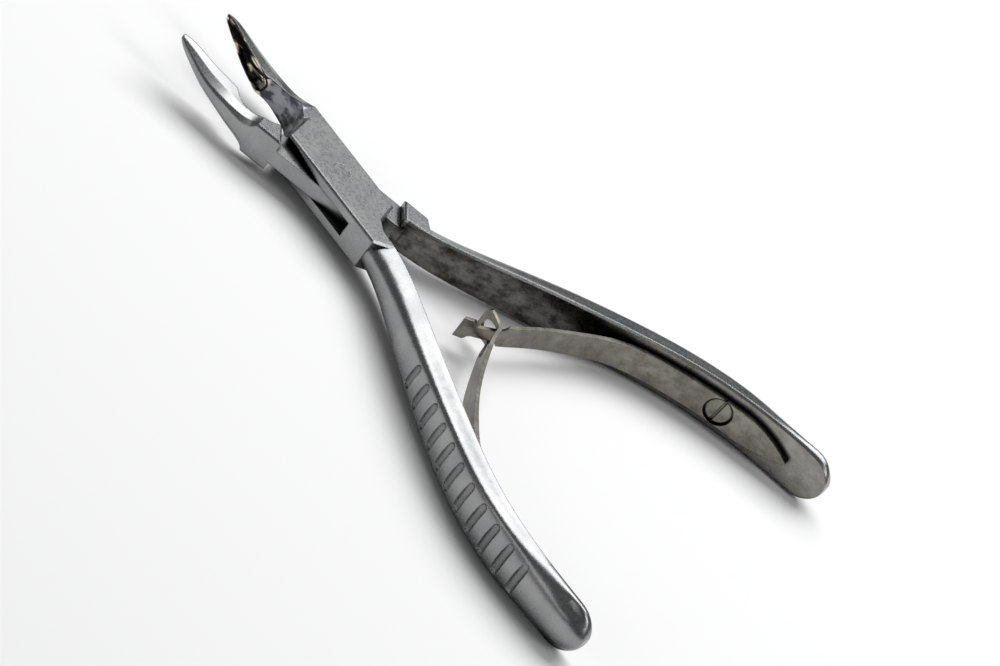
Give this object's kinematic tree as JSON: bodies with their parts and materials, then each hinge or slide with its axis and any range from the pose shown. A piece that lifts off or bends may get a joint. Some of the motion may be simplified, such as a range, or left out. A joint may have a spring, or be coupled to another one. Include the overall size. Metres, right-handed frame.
{
  "type": "box-joint rongeur",
  "caption": "Hand tool with curved hollow-tipped jaws on a box joint, long grooved handles, and a double leaf spring that holds it open.",
  "frame": {"origin": "on the pivot's axis, at the flat under face of the box joint", "axes": "+X along the tool from the pivot towards the handles' ends, +Y towards the handle of the half that passes through the box, +Z along the pivot, out of the face that the jaws rise towards"},
  "size_m": [0.133, 0.092, 0.0106],
  "materials": {
    "forged_steel": "satin, polished in the jaw cups",
    "pin_steel": "satin, ground flush with the box",
    "spring_steel": "fine satin with brighter edges",
    "screw_steel": "turned face"
  },
  "bodies": {
    "female": {"female_half": "forged_steel", "pivot_pin": "pin_steel", "left_screw": "screw_steel"},
    "male": {"male_half": "forged_steel", "right_screw": "screw_steel"},
    "left_blade": {"left_spring": "spring_steel"},
    "right_blade": {"right_spring": "spring_steel"}
  },
  "joints": [
    {"name": "jaw_pivot", "type": "hinge", "parent": "female", "child": "male", "pos_m": [0, 0, 0.0035], "axis": [0, 0, 1], "range_deg": [-22, 2], "stiffness_Nm_per_rad": 1.5, "deforming": ["left_spring", "right_spring"]},
    {"name": "right_flex", "type": "hinge", "parent": "male", "child": "right_blade", "pos_m": [0.05928, 0.03028, 0.0035], "axis": [0, 0, 1], "range_deg": [-16.3, 1.5]},
    {"name": "left_flex", "type": "hinge", "parent": "female", "child": "left_blade", "pos_m": [0.05928, -0.03028, 0.0035], "axis": [0, 0, 1], "range_deg": [-1.5, 16.3]}
  ],
  "couplings": [
    {"joint": "right_flex", "follows": "jaw_pivot", "ratio": 0.74},
    {"joint": "left_flex", "follows": "jaw_pivot", "ratio": -0.74}
  ]
}
